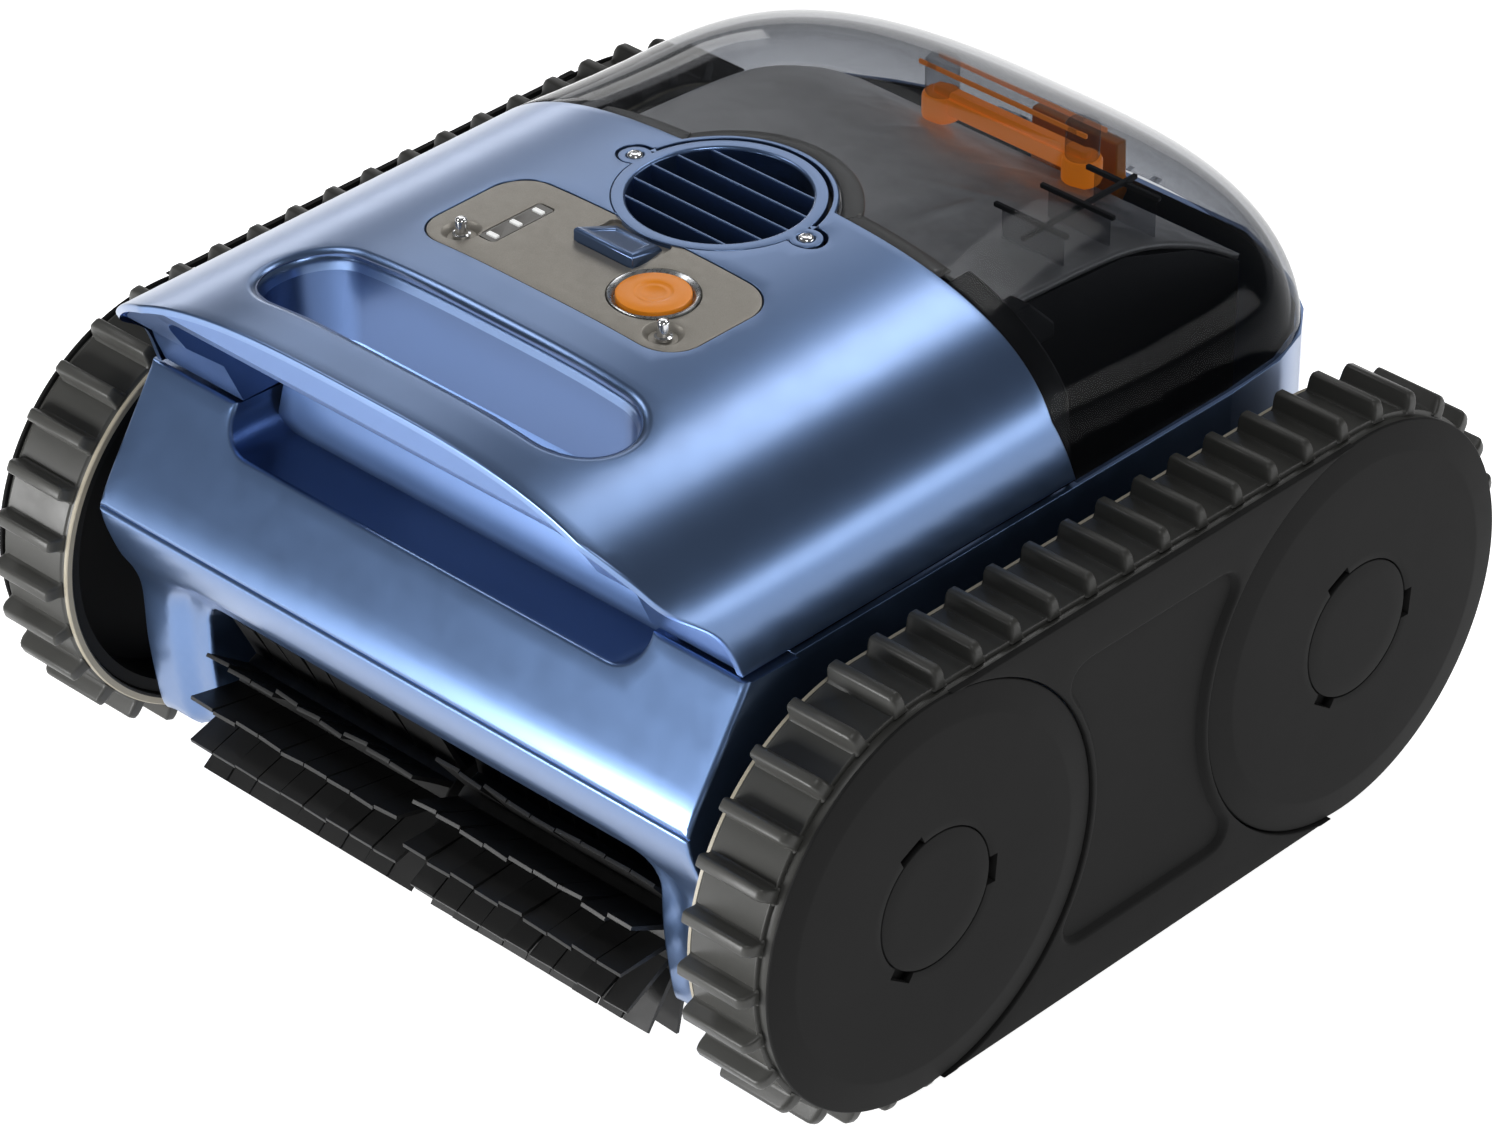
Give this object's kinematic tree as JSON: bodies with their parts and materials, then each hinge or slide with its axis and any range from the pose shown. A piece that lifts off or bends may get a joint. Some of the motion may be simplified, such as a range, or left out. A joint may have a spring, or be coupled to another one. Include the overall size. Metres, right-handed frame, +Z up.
{
  "type": "pool cleaner",
  "caption": "Cordless tracked pool cleaner with cleated belts, front roller brush, top carrying grip, outlet grille and a hinged smoked lid over its filter basket.",
  "frame": {"origin": "on the ground, at the centre of the overall footprint", "axes": "+Z up; the front, with the brush, faces -Y; +X is the side of the panel that holds the power button"},
  "size_m": [0.4074, 0.4174, 0.2584],
  "materials": {
    "body_blue": "satin metallic paint",
    "inner_blue": "satin",
    "cover_black": "fine matte grain",
    "inner_black": "satin",
    "track_rubber": "moulded rubber",
    "brush_rubber": "thin rubber blades",
    "panel_grey": "fine brushed gunmetal",
    "accent_orange": "satin",
    "led_white": "lit diffuser",
    "lens_black": "grey lens",
    "chrome": "polished",
    "steel": "turned",
    "smoke_clear": "smoked clear polycarbonate",
    "filter_mesh": "fine filter mesh",
    "seal_black": "soft seal",
    "impeller_orange": "moulded"
  },
  "bodies": {
    "chassis": {"hull_tub": "body_blue", "nose_shell": "body_blue", "brush_apron": "body_blue", "upper_shell": "body_blue", "pocket_liner": "body_blue", "dock_wedge": "body_blue", "outlet_grille": "body_blue", "grip_liner": "inner_blue", "control_panel": "panel_grey", "led_window": "lens_black", "led_bar_1": "led_white", "led_bar_2": "led_white", "led_bar_3": "led_white", "button_ring": "steel", "idler_axle_right": "steel", "idler_axle_left": "steel", "filter_handle": "accent_orange", "charge_pin_right": "chrome", "charge_pin_left": "chrome", "grille_screw_right": "chrome", "grille_screw_left": "chrome", "outlet_duct": "inner_black", "pump_motor": "inner_black", "battery_pack": "inner_black", "control_box": "inner_black", "filter_basket": "inner_black", "intake_duct": "inner_black", "drive_motor_right": "inner_black", "drive_motor_left": "inner_black", "brush_bush_right": "inner_black", "brush_bush_left": "inner_black", "lid_seal": "seal_black", "filter_top": "filter_mesh", "belt_right": "track_rubber", "belt_left": "track_rubber", "side_plate_right": "cover_black", "side_plate_left": "cover_black"},
    "button": {"power_button": "accent_orange"},
    "impeller": {"impeller": "impeller_orange", "impeller_shaft": "steel"},
    "lid": {"lid": "smoke_clear", "lid_hinge_arm_right": "inner_black", "lid_hinge_arm_left": "inner_black"},
    "latch": {"lid_latch": "accent_orange"},
    "brush": {"brush_right": "brush_rubber", "brush_left": "brush_rubber", "brush_shaft": "steel"},
    "intake_flap": {"intake_flap": "inner_black"},
    "wheel_front_right": {"wheel_front_right": "cover_black", "hub_cap_front_right": "cover_black"},
    "wheel_rear_right": {"wheel_rear_right": "cover_black", "hub_cap_rear_right": "cover_black", "drive_axle_right": "steel"},
    "wheel_front_left": {"wheel_front_left": "cover_black", "hub_cap_front_left": "cover_black"},
    "wheel_rear_left": {"wheel_rear_left": "cover_black", "hub_cap_rear_left": "cover_black", "drive_axle_left": "steel"}
  },
  "joints": [
    {"name": "button_press", "type": "slide", "parent": "chassis", "child": "button", "axis": [0, 0, -1], "range_m": [0, 0.002], "stiffness_N_per_m": 400},
    {"name": "impeller_spin", "type": "hinge", "parent": "chassis", "child": "impeller", "pos_m": [0, -0.0145, 0.188], "axis": [0, 0, 1], "continuous": true},
    {"name": "lid_open", "type": "hinge", "parent": "chassis", "child": "lid", "pos_m": [0, 0.006, 0.2548], "axis": [1, 0, 0], "range_deg": [0, 70]},
    {"name": "latch_release", "type": "hinge", "parent": "lid", "child": "latch", "pos_m": [0, 0.187, 0.196], "axis": [-1, 0, 0], "range_deg": [0, 20], "stiffness_Nm_per_rad": 0.3},
    {"name": "brush_spin", "type": "hinge", "parent": "chassis", "child": "brush", "pos_m": [0, -0.1445, 0.046], "axis": [1, 0, 0], "continuous": true},
    {"name": "flap_open", "type": "hinge", "parent": "chassis", "child": "intake_flap", "pos_m": [0, 0.0654, 0.0582], "axis": [1, 0, 0], "range_deg": [0, 75]},
    {"name": "wheel_rear_right_spin", "type": "hinge", "parent": "chassis", "child": "wheel_rear_right", "pos_m": [0.18, 0.1167, 0.092], "axis": [1, 0, 0], "continuous": true},
    {"name": "wheel_front_right_spin", "type": "hinge", "parent": "chassis", "child": "wheel_front_right", "pos_m": [0.18, -0.1167, 0.092], "axis": [1, 0, 0], "continuous": true},
    {"name": "wheel_rear_left_spin", "type": "hinge", "parent": "chassis", "child": "wheel_rear_left", "pos_m": [-0.18, 0.1167, 0.092], "axis": [1, 0, 0], "continuous": true},
    {"name": "wheel_front_left_spin", "type": "hinge", "parent": "chassis", "child": "wheel_front_left", "pos_m": [-0.18, -0.1167, 0.092], "axis": [1, 0, 0], "continuous": true}
  ],
  "couplings": [
    {"joint": "wheel_front_right_spin", "follows": "wheel_rear_right_spin", "ratio": 1},
    {"joint": "wheel_front_left_spin", "follows": "wheel_rear_left_spin", "ratio": 1}
  ]
}
